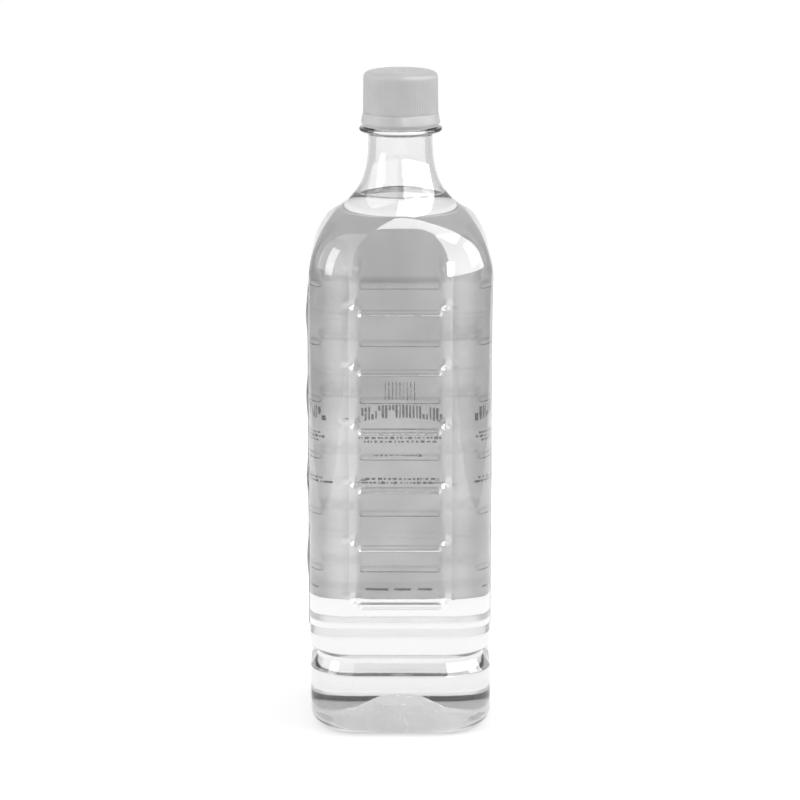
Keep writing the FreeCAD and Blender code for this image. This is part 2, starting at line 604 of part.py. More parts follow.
def label(doc):
    """Pipe the film's upright profile along its way: right side, back and left side."""
    body = new_body(doc, "label")
    reach = "(Sizes.body_half_width + Sizes.label_gap)"
    path = new_sketch(body, "LabelPath")
    side = number(path, reach)
    flat = number(path, "Sizes.side_flat")
    front = number(path, "Sizes.label_front")
    up = FreeCAD.Vector(0, 0, 1)
    right = path.addGeometry(Part.LineSegment(
        FreeCAD.Vector(side, -front, 0), FreeCAD.Vector(side, flat, 0)))
    right_turn = path.addGeometry(Part.ArcOfCircle(
        Part.Circle(FreeCAD.Vector(flat, flat, 0), up, side - flat), 0, math.pi / 2))
    back = path.addGeometry(Part.LineSegment(
        FreeCAD.Vector(flat, side, 0), FreeCAD.Vector(-flat, side, 0)))
    left_turn = path.addGeometry(Part.ArcOfCircle(
        Part.Circle(FreeCAD.Vector(-flat, flat, 0), up, side - flat), math.pi / 2, math.pi))
    left = path.addGeometry(Part.LineSegment(
        FreeCAD.Vector(-side, flat, 0), FreeCAD.Vector(-side, -front, 0)))
    chain = (right, right_turn, back, left_turn, left)
    for edge, following in zip(chain, chain[1:]):
        path.addConstraint(Sketcher.Constraint("Tangent", edge, 2, following, 1))
    path.addConstraint(Sketcher.Constraint("Symmetric", right, 1, left, 2, -2))
    path.addConstraint(Sketcher.Constraint("Vertical", right))
    path.addConstraint(Sketcher.Constraint("Horizontal", back))
    path.addConstraint(Sketcher.Constraint("Equal", right_turn, left_turn))
    sizes = (
        ("reach", Sketcher.Constraint("DistanceX", -1, 1, right, 1, side), reach),
        ("front", Sketcher.Constraint("DistanceY", right, 1, -1, 1, front), "Sizes.label_front"),
        ("back", Sketcher.Constraint("DistanceY", -1, 1, back, 1, side), reach),
        ("turn", Sketcher.Constraint("Radius", right_turn, side - flat),
         f"{reach} - Sizes.side_flat"),
    )
    for size_name, constraint, expression in sizes:
        index = path.addConstraint(constraint)
        path.renameConstraint(index, size_name)
        bind(path, size_name, expression)
    profile = new_sketch(body, "LabelProfile", plane="XZ_Plane", offset="Sizes.label_front")
    swell = "(Sizes.swell_length ^ 2 / 4 + Sizes.swell_rise ^ 2) / (2 * Sizes.swell_rise)"
    outer = f"{reach} + Sizes.label_thickness"
    inner_corners = [(reach, "Sizes.label_bottom", None)]
    outer_corners = [(outer, "Sizes.label_bottom", None)]
    for place in range(SWELLS):
        middle = f"Sizes.lowest_swell + {place} * Sizes.swell_pitch"
        low = f"{middle} - Sizes.swell_length / 2"
        high = f"{middle} + Sizes.swell_length / 2"
        inner_corners += [(reach, low, None), (reach, high, swell)]
        outer_corners += [(outer, low, swell), (outer, high, None)]
    inner_corners.append((reach, "Sizes.label_top", None))
    outer_corners.append((outer, "Sizes.label_top", None))
    outline(profile, outer_corners + inner_corners[::-1])
    film = body.newObject("PartDesign::AdditivePipe", "LabelFilm")
    film.Profile = profile
    film.Spine = path
    return body


def check(doc, parts):
    """Stop if any object failed, or if a part has no sound solid."""
    failed = [item.Name for item in doc.Objects
              if "Invalid" in item.State or "Error" in item.State]
    if failed:
        raise RuntimeError(f"these objects failed: {failed}")
    for part in parts:
        shape = part.Shape
        if shape.isNull() or not shape.isValid() or len(shape.Solids) != 1:
            raise RuntimeError(f"{part.Label} is not one sound solid")


def main():
    doc = FreeCAD.newDocument("DistillateBottle")
    new_sheet(doc)
    outside = bottle_outside(doc)
    inside = bottle_inside(doc)
    parts = [bottle(doc, outside, inside), liquid(doc, inside), cap(doc), label(doc)]
    doc.recompute()
    check(doc, parts)
    os.makedirs("parts", exist_ok=True)
    for part in parts:
        part.Shape.exportStep(f"parts/{part.Label}.step")
        box = part.Shape.BoundBox
        print(part.Label, "volume", round(part.Shape.Volume), "mm3", "box", box)


main()
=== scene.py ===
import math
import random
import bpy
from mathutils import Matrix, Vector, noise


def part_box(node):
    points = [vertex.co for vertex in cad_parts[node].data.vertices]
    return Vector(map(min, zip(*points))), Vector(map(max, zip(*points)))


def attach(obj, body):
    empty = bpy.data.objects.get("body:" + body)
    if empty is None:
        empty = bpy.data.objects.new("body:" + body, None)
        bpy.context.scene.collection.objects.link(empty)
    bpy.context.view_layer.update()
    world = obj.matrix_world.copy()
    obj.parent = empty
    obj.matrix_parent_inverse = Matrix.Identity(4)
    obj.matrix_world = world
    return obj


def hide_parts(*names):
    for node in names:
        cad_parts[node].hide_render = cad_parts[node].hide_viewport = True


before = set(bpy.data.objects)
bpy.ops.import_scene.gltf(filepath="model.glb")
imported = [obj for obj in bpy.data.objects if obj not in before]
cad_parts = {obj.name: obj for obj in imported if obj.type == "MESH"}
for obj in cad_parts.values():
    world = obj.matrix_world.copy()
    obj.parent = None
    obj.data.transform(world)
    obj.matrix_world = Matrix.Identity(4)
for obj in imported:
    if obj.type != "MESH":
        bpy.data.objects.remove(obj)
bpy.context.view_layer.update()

# A one-litre square PET bottle of clear herbal distillate with a white screw cap and a loose wrap
# label on its back and sides. Metres, +Z up, the front face looks along -Y.
#
# The three smooth skins (outside, inside and liquid) share one outline, so they are made from the
# same rows of rings. The cap is a turned profile with grip ribs, and the label is a thin film that
# follows the body and swells off it here and there.

MM = 0.001
FACES = 4

# ------------------------------------------------------------------ sizes taken from the frame
bottle_low, bottle_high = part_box("bottle")
liquid_low, liquid_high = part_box("distillate")
cap_low, cap_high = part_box("cap")
label_low, label_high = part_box("label")
HALF_WIDTH = bottle_high.x
MOUTH_TOP = bottle_high.z
LIQUID_LEVEL = liquid_high.z
CAP_TOP = cap_high.z
CAP_FOOT = cap_low.z
LABEL_BOTTOM = label_low.z
LABEL_TOP = label_high.z
LABEL_FRONT = -label_low.y
WALL = liquid_low.z - bottle_low.z

# ------------------------------------------------------------------ the bottle's own sizes
SIDE_FLAT = 17.7 * MM
HEEL_RADIUS = 7.5 * MM
PUSH_UP_RADIUS = 23.0 * MM
PUSH_UP_TOP_RADIUS = 10.3 * MM
PUSH_UP_HEIGHT = 6.5 * MM
PUSH_UP_ROUNDING = 2.0 * MM
WAIST_BOTTOM = 25.5 * MM
WAIST_TOP = 34.6 * MM
WAIST_DEPTH = 3.0 * MM
WAIST_MIDDLE = 31.2 * MM
WAIST_FLOOR = 2.0 * MM
WAIST_LIP_RADIUS = 0.8 * MM
WAIST_FOOT_RADIUS = 3.0 * MM
SHOULDER_BOTTOM = 187.0 * MM
SHOULDER_TOP = 210.4 * MM
JOINT_RADIUS = 25.4 * MM
NECK_RADIUS = 12.85 * MM
BORE_RADIUS = 10.85 * MM
RING_BOTTOM = 241.4 * MM
RING_THICKNESS = 1.5 * MM
RING_RADIUS = 16.5 * MM
RING_ROUNDING = 0.5 * MM
FINISH_RADIUS = 12.5 * MM
SHOULDER_POWER = 1.65
SHOULDER_SWEEP = 0.91
FLARE_POWER = 2.9
FLARE_SWEEP = 0.84
ARCH_POWER = 4

SLOTS_PER_FACE = 6
SLOT_LENGTH = 33.6 * MM
SLOT_HEIGHT = 3.0 * MM
SLOT_DEPTH = 0.6 * MM
SLOT_WALL = 0.9 * MM
SLOT_MARGIN = 0.4 * MM
SLOT_PITCH = 23.9 * MM
LOWEST_SLOT = 55.1 * MM

# The blown wall is drawn in a little over both ends of each slot.
DIMPLE_ACROSS = 18.0 * MM
DIMPLE_ABOVE_SLOT = 3.3 * MM
DIMPLE_RADIUS = 2.8 * MM
DIMPLE_DEPTH = 0.9 * MM

# The body leans this far to the left of the neck and the foot, in the middle of its height.
LEAN = 0.3 * MM
LEAN_FOOT = 40 * MM
LEAN_TOP = 165 * MM
LEAN_RUN = 25 * MM

# How unevenly the blown wall runs, how wide its waves are, and how far from the ground and the
# support ring they start to fade out.
WAVE_HEIGHT = 0.07 * MM
WAVE_WIDTH = 16 * MM
WAVE_CLEAR = 12 * MM
WAVE_FADE = 8 * MM

# How many rows or columns of points draw each stretch of the skins.
SLOT_SLOPE_ROWS = 6
SLOT_FLOOR_ROWS = 2
DIMPLE_ROWS = 8
PLAIN_ROWS = 5
SHOULDER_ROWS = 24
NECK_ROWS = 26
FACE_COLUMNS = 6
SLOT_END_COLUMNS = 8
DIMPLE_COLUMNS = 7
CORNER_COLUMNS = 8

# ------------------------------------------------------------------ the liquid
LIQUID_OVERLAP = WALL / 2
MENISCUS_RISE = 1.3 * MM
MENISCUS_WIDTH = 2.6 * MM
MENISCUS_ROWS = 8
SURFACE_ROWS = 4

# ------------------------------------------------------------------ the cap
CAP_RADIUS = 15.0 * MM
CAP_DISC_RADIUS = 12.65 * MM
CAP_DISC_STEP = 0.15 * MM
CAP_EDGE_RADIUS = 2.1 * MM
SCORE_HEIGHT = 248.7 * MM
SCORE_WIDTH = 0.5 * MM
SCORE_DEPTH = 0.3 * MM
BAND_RADIUS = 15.8 * MM
BAND_EDGE = 1.5 * MM
BAND_WALL = 1.0 * MM
CAP_WALL = 1.2 * MM
GATE_RADIUS = 2.2 * MM
GATE_DEPTH = 0.3 * MM
GRIP_RIBS = 120
GRIP_DEPTH = 0.16 * MM
GRIP_FADE = 0.8 * MM
COLUMNS_PER_RIB = 5
CAP_ROW_PITCH = 1.2 * MM

# ------------------------------------------------------------------ the label
LABEL_GAP = 0.05 * MM
LABEL_THICKNESS = 0.2 * MM
SWELL_RISE = 0.6 * MM
LABEL_SLOPE = 6.0 * MM
SWELL_LENGTH = 20 * MM
SWELL_PITCH = 33.4 * MM
LOWEST_SWELL = 70.5 * MM
SWELLS = 4
CRINKLE_RISE = 0.2 * MM
CRINKLE_WIDTH = 14 * MM
LABEL_COLUMNS = 150
LABEL_ROWS = 120
PANEL_EDGE = 1.5 * MM
INK_THICKNESS = 0.015 * MM
INK_GAP = 0.01 * MM
INK_STEP = 1.5 * MM
PRINT_SEED = 7

# ------------------------------------------------------------------ how much each stuff bends light
PET_IOR = 1.57
WATER_IOR = 1.33
FILM_IOR = 1.2

# ------------------------------------------------------------------ the camera and the light
CAMERA_REACH = 1.338
CAMERA_HEIGHT = 0.445
CAMERA_TILT = math.radians(13.2)
CAMERA_LENS = 152.7
CAMERA_ASIDE = -0.25 * MM
AMBIENT = 0.62
# How bright the studio is for what glass shows of it: beside the backdrop, and the backdrop.
STUDIO_SIDES = 0.66
BACKDROP = 1.0
# How squarely a direction faces the backdrop where the grey sides end, and where they are all gone.
BACKDROP_START = 0.93
BACKDROP_FULL = 0.985
# The paper strip that the bottle stands on: how far it reaches, and half its width there.
PAPER_NEAR = 1.2
PAPER_NEAR_HALF = 0.3
PAPER_FAR = 3.0
PAPER_FAR_HALF = 0.62
PAPER_GLOW = 0.5

# Soft lights that face the middle of the bottle: name, place, size and energy.
SOFTBOXES = (
    ("RightSoftbox", (1.1, -0.1, 0.75), (0.5, 0.7), 4),
    ("LeftSoftbox", (-1.1, -0.4, 0.6), (0.5, 0.9), 4),
)

# Panels that only show as glints: name, place, facing, size and energy.
PANELS = (
    ("RightPanel", (1.04, -0.6, 1.88), (-1.04, 0.6, 0), (2.9, 3.2), 230),
    ("TopPanel", (1.0, -0.2, 3.4), (0, 0, -1), (2.4, 2.4), 145),
    ("GlintPanel", (0.375, -1.4, 0.54), (-0.375, 1.4, -0.4), (0.5, 0.5), 16),
    ("LeftPanel", (-1.04, -0.6, 1.88), (1.04, 0.6, 0), (2.9, 3.2), 55),
)


# ================================================================== small helpers
def spread(start, end, count):
    """Return count even steps from start up to, and without, the end."""
    return [start + (end - start) * step / count for step in range(count)]


def smooth_step(value):
    """Rise from 0 to 1 with level ends."""
    value = min(max(value, 0.0), 1.0)
    return value * value * (3 - 2 * value)


def bump_between(value, low, high, edge):
    """Return 1 between low and high, and 0 further than edge outside them."""
    return smooth_step((value - low) / edge + 1) * smooth_step((high - value) / edge + 1)


def rounded_path(corners, steps=6):
    """Join corners (across, up, radius) with straight lines and round each with an arc."""
    places = [Vector((across, up)) for across, up, radius in corners]
    path = [places[0]]
    for before, corner, after, (across, up, radius) in zip(
            places, places[1:], places[2:], corners[1:]):
        if radius == 0:
            path.append(corner)
            continue
        back = (before - corner).normalized()
        ahead = (after - corner).normalized()
        half_angle = back.angle(ahead) / 2
        middle = (back + ahead).normalized()
        centre = corner + middle * (radius / math.sin(half_angle))
        reach = radius / math.tan(half_angle)
        first = (corner + back * reach - centre).normalized()
        last = (corner + ahead * reach - centre).normalized()
        for step in range(steps + 1):
            path.append(centre + radius * first.slerp(last, step / steps))
    path.append(places[-1])
    return path


def new_piece(name, points, faces, material, smooth=True):
    """Make a mesh object from points and from faces that are listed facing outward."""
    mesh = bpy.data.meshes.new(name)
    mesh.from_pydata(points, [], faces)
    mesh.validate()
    mesh.polygons.foreach_set("use_smooth", [smooth] * len(mesh.polygons))
    mesh.materials.append(material)
    piece = bpy.data.objects.new(name, mesh)
    bpy.context.scene.collection.objects.link(piece)
    return piece


def closed_mesh(rings, start, end):
    """Join rings of equal length into one closed skin, with a middle point at each end."""
    count = len(rings[0])
    points = [point for ring in rings for point in ring]
    faces = []
    for row in range(len(rings) - 1):
        for column in range(count):
            following = (column + 1) % count
            faces.append((row * count + column, row * count + following,
                          (row + 1) * count + following, (row + 1) * count + column))
    first_middle = len(points)
    last_row = (len(rings) - 1) * count
    points += [start, end]
    for column in range(count):
        following = (column + 1) % count
        faces.append((first_middle, following, column))
        faces.append((first_middle + 1, last_row + column, last_row + following))
    return points, faces


# ================================================================== the outline of the bottle
def superellipse(along, power):
    """Return the height of a quarter superellipse, 1 wide and 1 high, this far along its base."""
    return (1 - along ** power) ** (1 / power)


def shoulder_half_width(height, inset):
    """Half width of the shoulder at this height."""
    least = superellipse(SHOULDER_SWEEP, SHOULDER_POWER)
    along = (height - SHOULDER_BOTTOM) / (SHOULDER_TOP - SHOULDER_BOTTOM)
    share = (superellipse(SHOULDER_SWEEP * along, SHOULDER_POWER) - least) / (1 - least)
    return JOINT_RADIUS + share * (HALF_WIDTH - JOINT_RADIUS) - inset


def neck_radius(height, inset, narrow):
    """Radius of the neck at this height; narrow is its radius under the support ring."""
    least = superellipse(FLARE_SWEEP, FLARE_POWER)
    depth = (RING_BOTTOM - height) / (RING_BOTTOM - SHOULDER_TOP)
    share = (1 - superellipse(FLARE_SWEEP * depth, FLARE_POWER)) / (1 - least)
    return narrow + share * (JOINT_RADIUS - inset - narrow)


def slot_heights():
    """Heights of the rows that draw the slots and dimples: close together on their slopes."""
    heights = []
    half = SLOT_HEIGHT / 2
    for place in range(SLOTS_PER_FACE):
        middle = LOWEST_SLOT + place * SLOT_PITCH
        above = middle + DIMPLE_ABOVE_SLOT + DIMPLE_RADIUS
        following = min(middle + SLOT_PITCH - half - SLOT_MARGIN, SHOULDER_BOTTOM)
        stretches = (
            (middle - half - SLOT_MARGIN, middle - half + SLOT_WALL, SLOT_SLOPE_ROWS),
            (middle - half + SLOT_WALL, middle + half - SLOT_WALL, SLOT_FLOOR_ROWS),
            (middle + half - SLOT_WALL, middle + half + SLOT_MARGIN, SLOT_SLOPE_ROWS),
            (middle + half + SLOT_MARGIN, above, DIMPLE_ROWS),
            (above, following, PLAIN_ROWS),
        )
        for start, end, rows in stretches:
            heights += spread(start, end, rows)
    return heights


def lower_rows(inset):
    """Follow the skin from the middle of the underside up to the shoulder: (half width, height)."""
    floor = inset
    side = HALF_WIDTH - inset
    deep = side - WAIST_DEPTH
    rows = rounded_path([
        (0, floor + PUSH_UP_HEIGHT, 0),
        (PUSH_UP_TOP_RADIUS + inset, floor + PUSH_UP_HEIGHT, PUSH_UP_ROUNDING),
        (PUSH_UP_RADIUS + inset, floor, PUSH_UP_ROUNDING / 2),
        (side, floor, HEEL_RADIUS - inset),
        (side, WAIST_BOTTOM, WAIST_FOOT_RADIUS),
        (deep, WAIST_MIDDLE - WAIST_FLOOR / 2, WAIST_FLOOR / 2),
        (deep, WAIST_MIDDLE + WAIST_FLOOR / 2, WAIST_FLOOR / 2),
        (side, WAIST_TOP, WAIST_LIP_RADIUS),
        (side, LOWEST_SLOT - SLOT_HEIGHT, 0),
    ], steps=8)
    rows = [(row.x, row.y) for row in rows[1:]]
    rows.insert(0, (PUSH_UP_TOP_RADIUS / 2, floor + PUSH_UP_HEIGHT))
    rows += [(side, height) for height in slot_heights()]
    return rows


def upper_rows(inset, narrow):
    """Follow the skin over the shoulder and up the neck to the support ring."""
    rows = []
    for along in spread(0, math.pi / 2, SHOULDER_ROWS):
        height = SHOULDER_BOTTOM + math.sin(along) * (SHOULDER_TOP - SHOULDER_BOTTOM)
        rows.append((shoulder_half_width(height, inset), height))
    for along in spread(math.pi / 2, 0, NECK_ROWS) + [0]:
        height = RING_BOTTOM - math.sin(along) * (RING_BOTTOM - SHOULDER_TOP)
        rows.append((neck_radius(height, inset, narrow), height))
    return rows


def finish_rows():
    """Follow the skin over the support ring and up the mouth: (radius, height)."""
    ring_top = RING_BOTTOM + RING_THICKNESS
    rows = rounded_path([
        (NECK_RADIUS, RING_BOTTOM, 0),
        (RING_RADIUS, RING_BOTTOM, RING_ROUNDING),
        (RING_RADIUS, ring_top, RING_ROUNDING),
        (FINISH_RADIUS, ring_top, 0),
        (FINISH_RADIUS, MOUTH_TOP, RING_ROUNDING),
        (BORE_RADIUS, MOUTH_TOP, RING_ROUNDING),
        (BORE_RADIUS, RING_BOTTOM, 0),
    ], steps=4)
    return [(row.x, row.y) for row in rows[1:-1]]


def straight_part(half_width, height):
    """Half of the straight part of each side in the ring of this half width and height."""
    if height >= SHOULDER_TOP:
        return 0.0
    if height > SHOULDER_BOTTOM:
        along = (height - SHOULDER_BOTTOM) / (SHOULDER_TOP - SHOULDER_BOTTOM)
        return SIDE_FLAT * (1 - along ** ARCH_POWER)
    heel_start = HALF_WIDTH - HEEL_RADIUS
    return SIDE_FLAT * smooth_step(
        (half_width - PUSH_UP_RADIUS) / (heel_start - PUSH_UP_RADIUS))


def body_shares():
    """Where the columns stand along a quarter of the body's outline, from 0 to 1.

    The quarter runs from the middle of one face to the middle of the next. The columns are close
    together where the slots end.
    """
    corner = (HALF_WIDTH - SIDE_FLAT) * math.pi / 2
    quarter = 2 * SIDE_FLAT + corner
    fine_from = SLOT_LENGTH / 2 - SLOT_HEIGHT / 2
    fine_to = DIMPLE_ACROSS + DIMPLE_RADIUS
    half = spread(0, fine_from, FACE_COLUMNS)
    half += spread(fine_from, SIDE_FLAT, SLOT_END_COLUMNS)
    half += spread(SIDE_FLAT, fine_to, DIMPLE_COLUMNS)
    places = half + spread(fine_to, quarter - fine_to, CORNER_COLUMNS)
    places += [quarter - place for place in half[::-1][:-1]]
    return sorted(place / quarter for place in places)


SHARES = body_shares()


def roundness(half_width, height):
    """Say how far the columns have moved from their places on the body to even spacing."""
    above = smooth_step((height - SHOULDER_BOTTOM) / (SHOULDER_TOP - SHOULDER_BOTTOM))
    heel_start = HALF_WIDTH - HEEL_RADIUS
    below = smooth_step((heel_start - half_width) / (heel_start - PUSH_UP_RADIUS))
    return max(above, below if height < WAIST_BOTTOM else 0.0)


def slot_depth(across, height):
    """Depth of the slots and dimples at this place on a face."""
    place = round((height - LOWEST_SLOT) / SLOT_PITCH)
    place = min(max(place, 0), SLOTS_PER_FACE - 1)
    up = height - (LOWEST_SLOT + place * SLOT_PITCH)
    end = SLOT_LENGTH / 2 - SLOT_HEIGHT / 2
    past_end = max(abs(across) - end, 0.0)
    inside = SLOT_HEIGHT / 2 - math.hypot(past_end, up)
    away = math.hypot(abs(across) - DIMPLE_ACROSS, up - DIMPLE_ABOVE_SLOT)
    dimple = DIMPLE_DEPTH * smooth_step(1 - away / DIMPLE_RADIUS)
    return SLOT_DEPTH * smooth_step(inside / SLOT_WALL) + dimple


def wave(point):
    """How far the blown wall stands in here: low, wide waves, none at the mouth and the foot."""
    seen = bump_between(point.z, WAVE_CLEAR, RING_BOTTOM - WAVE_CLEAR, WAVE_FADE)
    return WAVE_HEIGHT * seen * (noise.noise(point / WAVE_WIDTH) - 1) / 2


def lean(height):
    """How far the body stands to the left of the axis at this height."""
    return LEAN * bump_between(height, LEAN_FOOT, LEAN_TOP, LEAN_RUN)


def quarter_place(along, half_width, straight):
    """Follow a quarter of a ring from the middle of the front face to that of the right face.

    Return the place this far along, the direction outward there, and the distance from the middle
    of the nearer face.
    """
    radius = half_width - straight
    corner = radius * math.pi / 2
    quarter = 2 * straight + corner
    if along <= straight:
        return Vector((along, -half_width)), Vector((0, -1)), along
    if along < straight + corner:
        angle = (along - straight) / radius
        outward = Vector((math.sin(angle), -math.cos(angle)))
        place = Vector((straight, -straight)) + radius * outward
        return place, outward, min(along, quarter - along)
    across = along - quarter
    return Vector((half_width, across)), Vector((1, 0)), across


def turned(place, height, angle):
    """Turn a flat place by an angle round the axis, and lift it to this height."""
    return Vector((place.x * math.cos(angle) - place.y * math.sin(angle),
                   place.x * math.sin(angle) + place.y * math.cos(angle), height))


def ring(half_width, height):
    """Return the points of one ring of a skin, columns in order round the axis."""
    straight = straight_part(half_width, height)
    quarter = 2 * straight + (half_width - straight) * math.pi / 2
    even = roundness(half_width, height)
    on_the_slots = abs(half_width - HALF_WIDTH) < 2 * WALL and height > WAIST_TOP
    points = []
    for face in range(FACES):
        for column, share in enumerate(SHARES):
            along = quarter * ((1 - even) * share + even * column / len(SHARES))
            place, outward, across = quarter_place(along, half_width, straight)
            if on_the_slots:
                place -= outward * slot_depth(across, height)
            place = turned(place, height, face * math.pi / 2)
            away = Vector((place.x, place.y, 0)).normalized()
            place += away * wave(place)
            place.x -= lean(height)
            points.append(place)
    return points


# ================================================================== materials
def new_material(name):
    """Return a new material and its Principled shader."""
    material = bpy.data.materials.new(name)
    material.use_nodes = True
    shader = material.node_tree.nodes["Principled BSDF"]
    return material, shader


def unevenness_group():
    """Build the node group of soft cloudy unevenness that every surface has in its own measure."""
    group = bpy.data.node_groups.new("Unevenness", "ShaderNodeTree")
    group.interface.new_socket("Scale", in_out="INPUT", socket_type="NodeSocketFloat")
    group.interface.new_socket("Low", in_out="INPUT", socket_type="NodeSocketFloat")
    group.interface.new_socket("High", in_out="INPUT", socket_type="NodeSocketFloat")
    group.interface.new_socket("Value", in_out="OUTPUT", socket_type="NodeSocketFloat")
    group.interface.new_socket("Height", in_out="OUTPUT", socket_type="NodeSocketFloat")
    given = group.nodes.new("NodeGroupInput")
    result = group.nodes.new("NodeGroupOutput")
    place = group.nodes.new("ShaderNodeTexCoord")
    cloud = group.nodes.new("ShaderNodeTexNoise")
    cloud.inputs["Detail"].default_value = 4
    span = group.nodes.new("ShaderNodeMapRange")
    span.inputs["From Min"].default_value = 0.3
    span.inputs["From Max"].default_value = 0.7
    links = group.links
    links.new(place.outputs["Object"], cloud.inputs["Vector"])
    links.new(given.outputs["Scale"], cloud.inputs["Scale"])
    links.new(cloud.outputs["Fac"], span.inputs["Value"])
    links.new(given.outputs["Low"], span.inputs["To Min"])
    links.new(given.outputs["High"], span.inputs["To Max"])
    links.new(span.outputs["Result"], result.inputs["Value"])
    links.new(cloud.outputs["Fac"], result.inputs["Height"])
    return group


UNEVENNESS = unevenness_group()


def add_unevenness(material, scale, low, high):
    """Place the unevenness group in a material, with its values running from low to high."""
    node = material.node_tree.nodes.new("ShaderNodeGroup")
    node.node_tree = UNEVENNESS
    node.inputs["Scale"].default_value = scale
    node.inputs["Low"].default_value = low
    node.inputs["High"].default_value = high
    return node


def add_bump(material, shader, height, strength, distance):
    """Raise the surface by a height output."""
    bump = material.node_tree.nodes.new("ShaderNodeBump")
    bump.inputs["Strength"].default_value = strength
    bump.inputs["Distance"].default_value = distance
    material.node_tree.links.new(height, bump.inputs["Height"])
    material.node_tree.links.new(bump.outputs["Normal"], shader.inputs["Normal"])


def add_shine(material, shader, scale, low, high):
    """Let the roughness run unevenly from low to high, and return its unevenness node."""
    shine = add_unevenness(material, scale, low, high)
    material.node_tree.links.new(shine.outputs["Value"], shader.inputs["Roughness"])
    return shine


def tinted(material, shader, value, dark, light):
    """Colour the surface between two greys by a value output that runs from 0 to 1."""
    ramp = material.node_tree.nodes.new("ShaderNodeValToRGB")
    ramp.color_ramp.elements[0].color = (dark, dark, dark, 1)
    ramp.color_ramp.elements[1].color = (light, light, light, 1)
    material.node_tree.links.new(value, ramp.inputs["Fac"])
    material.node_tree.links.new(ramp.outputs["Color"], shader.inputs["Base Color"])


def pet_material():
    """Clear blown PET: hard gloss with faint ripples."""
    material, shader = new_material("ClearPet")
    shader.inputs["Base Color"].default_value = (0.95, 0.95, 0.95, 1)
    shader.inputs["Transmission Weight"].default_value = 1
    shader.inputs["IOR"].default_value = PET_IOR
    add_shine(material, shader, 60, 0.0, 0.03)
    ripple = add_unevenness(material, 90, 0, 1)
    add_bump(material, shader, ripple.outputs["Height"], 0.12, 0.4 * MM)
    return material


def cloudy_pet_glow_material():
    """The thick, slightly cloudy plastic in the middle of the underside, with a faint painted glow
    that lightens it where the bottle shades it.
    """
    material, shader = new_material("CloudyPetPaintedGlow")
    cloud = add_unevenness(material, 260, 0, 1)
    tinted(material, shader, cloud.outputs["Value"], 0.80, 0.95)
    shader.inputs["Transmission Weight"].default_value = 0.4
    # Painted glow: the plastic gives off a faint light of its own, which lightens the underside that
    # lies in the bottle's shadow.
    shader.inputs["Emission Color"].default_value = (1, 1, 1, 1)
    shader.inputs["Emission Strength"].default_value = 0.2
    shader.inputs["IOR"].default_value = PET_IOR
    add_shine(material, shader, 200, 0.1, 0.3)
    return material


def liquid_material():
    """Clear herbal distillate, which is nearly water."""
    material, shader = new_material("ClearDistillate")
    shader.inputs["Base Color"].default_value = (0.93, 0.93, 0.93, 1)
    shader.inputs["Transmission Weight"].default_value = 1
    shader.inputs["IOR"].default_value = WATER_IOR
    add_shine(material, shader, 40, 0.0, 0.01)
    return material


def cap_material():
    """White moulded cap plastic with a fine satin skin."""
    material, shader = new_material("WhiteCapPlastic")
    cloud = add_unevenness(material, 120, 0, 1)
    tinted(material, shader, cloud.outputs["Value"], 0.60, 0.65)
    shine = add_shine(material, shader, 900, 0.34, 0.46)
    add_bump(material, shader, shine.outputs["Height"], 0.15, 0.05 * MM)
    shader.inputs["Specular IOR Level"].default_value = 0.2
    shader.inputs["Subsurface Weight"].default_value = 0.15
    shader.inputs["Subsurface Radius"].default_value = (1, 1, 1)
    shader.inputs["Subsurface Scale"].default_value = 1 * MM
    return material


def side_mask(material):
    """Return an output that is 0 on the label's back panel and 1 on its corners and sides, which
    places the film's painted shade.
    """
    nodes = material.node_tree.nodes
    links = material.node_tree.links
    place = nodes.new("ShaderNodeTexCoord")
    parts = nodes.new("ShaderNodeSeparateXYZ")
    links.new(place.outputs["Object"], parts.inputs["Vector"])
    across = nodes.new("ShaderNodeMath")
    across.operation = "ABSOLUTE"
    links.new(parts.outputs["X"], across.inputs[0])
    panel = nodes.new("ShaderNodeMapRange")
    panel.interpolation_type = "SMOOTHSTEP"
    panel.inputs["From Min"].default_value = SIDE_FLAT - PANEL_EDGE
    panel.inputs["From Max"].default_value = SIDE_FLAT + 2 * PANEL_EDGE
    links.new(across.outputs[0], panel.inputs["Value"])
    return panel.outputs["Result"]


def film_material():
    """Milky label film, finely creased, with painted shade that makes its back panel darker than its
    corners and sides.
    """
    material, shader = new_material("LabelFilm")
    links = material.node_tree.links
    cloud = add_unevenness(material, 45, 0, 0.3)
    field = material.node_tree.nodes.new("ShaderNodeMath")
    field.operation = "MULTIPLY_ADD"
    field.inputs[1].default_value = 0.7
    # Painted shade: the back panel is coloured darker than the corners and sides.
    links.new(side_mask(material), field.inputs[0])
    links.new(cloud.outputs["Value"], field.inputs[2])
    tinted(material, shader, field.outputs[0], 0.36, 0.98)
    shader.inputs["Transmission Weight"].default_value = 0.9
    shader.inputs["IOR"].default_value = FILM_IOR
    add_shine(material, shader, 300, 0.35, 0.5)
    crease = add_unevenness(material, 160, 0, 1)
    add_bump(material, shader, crease.outputs["Height"], 0.25, 0.3 * MM)
    return material


def ink_material():
    """Dark grey printing ink, a little worn."""
    material, shader = new_material("LabelInk")
    cloud = add_unevenness(material, 700, 0, 1)
    tinted(material, shader, cloud.outputs["Value"], 0.02, 0.07)
    add_shine(material, shader, 300, 0.4, 0.6)
    return material


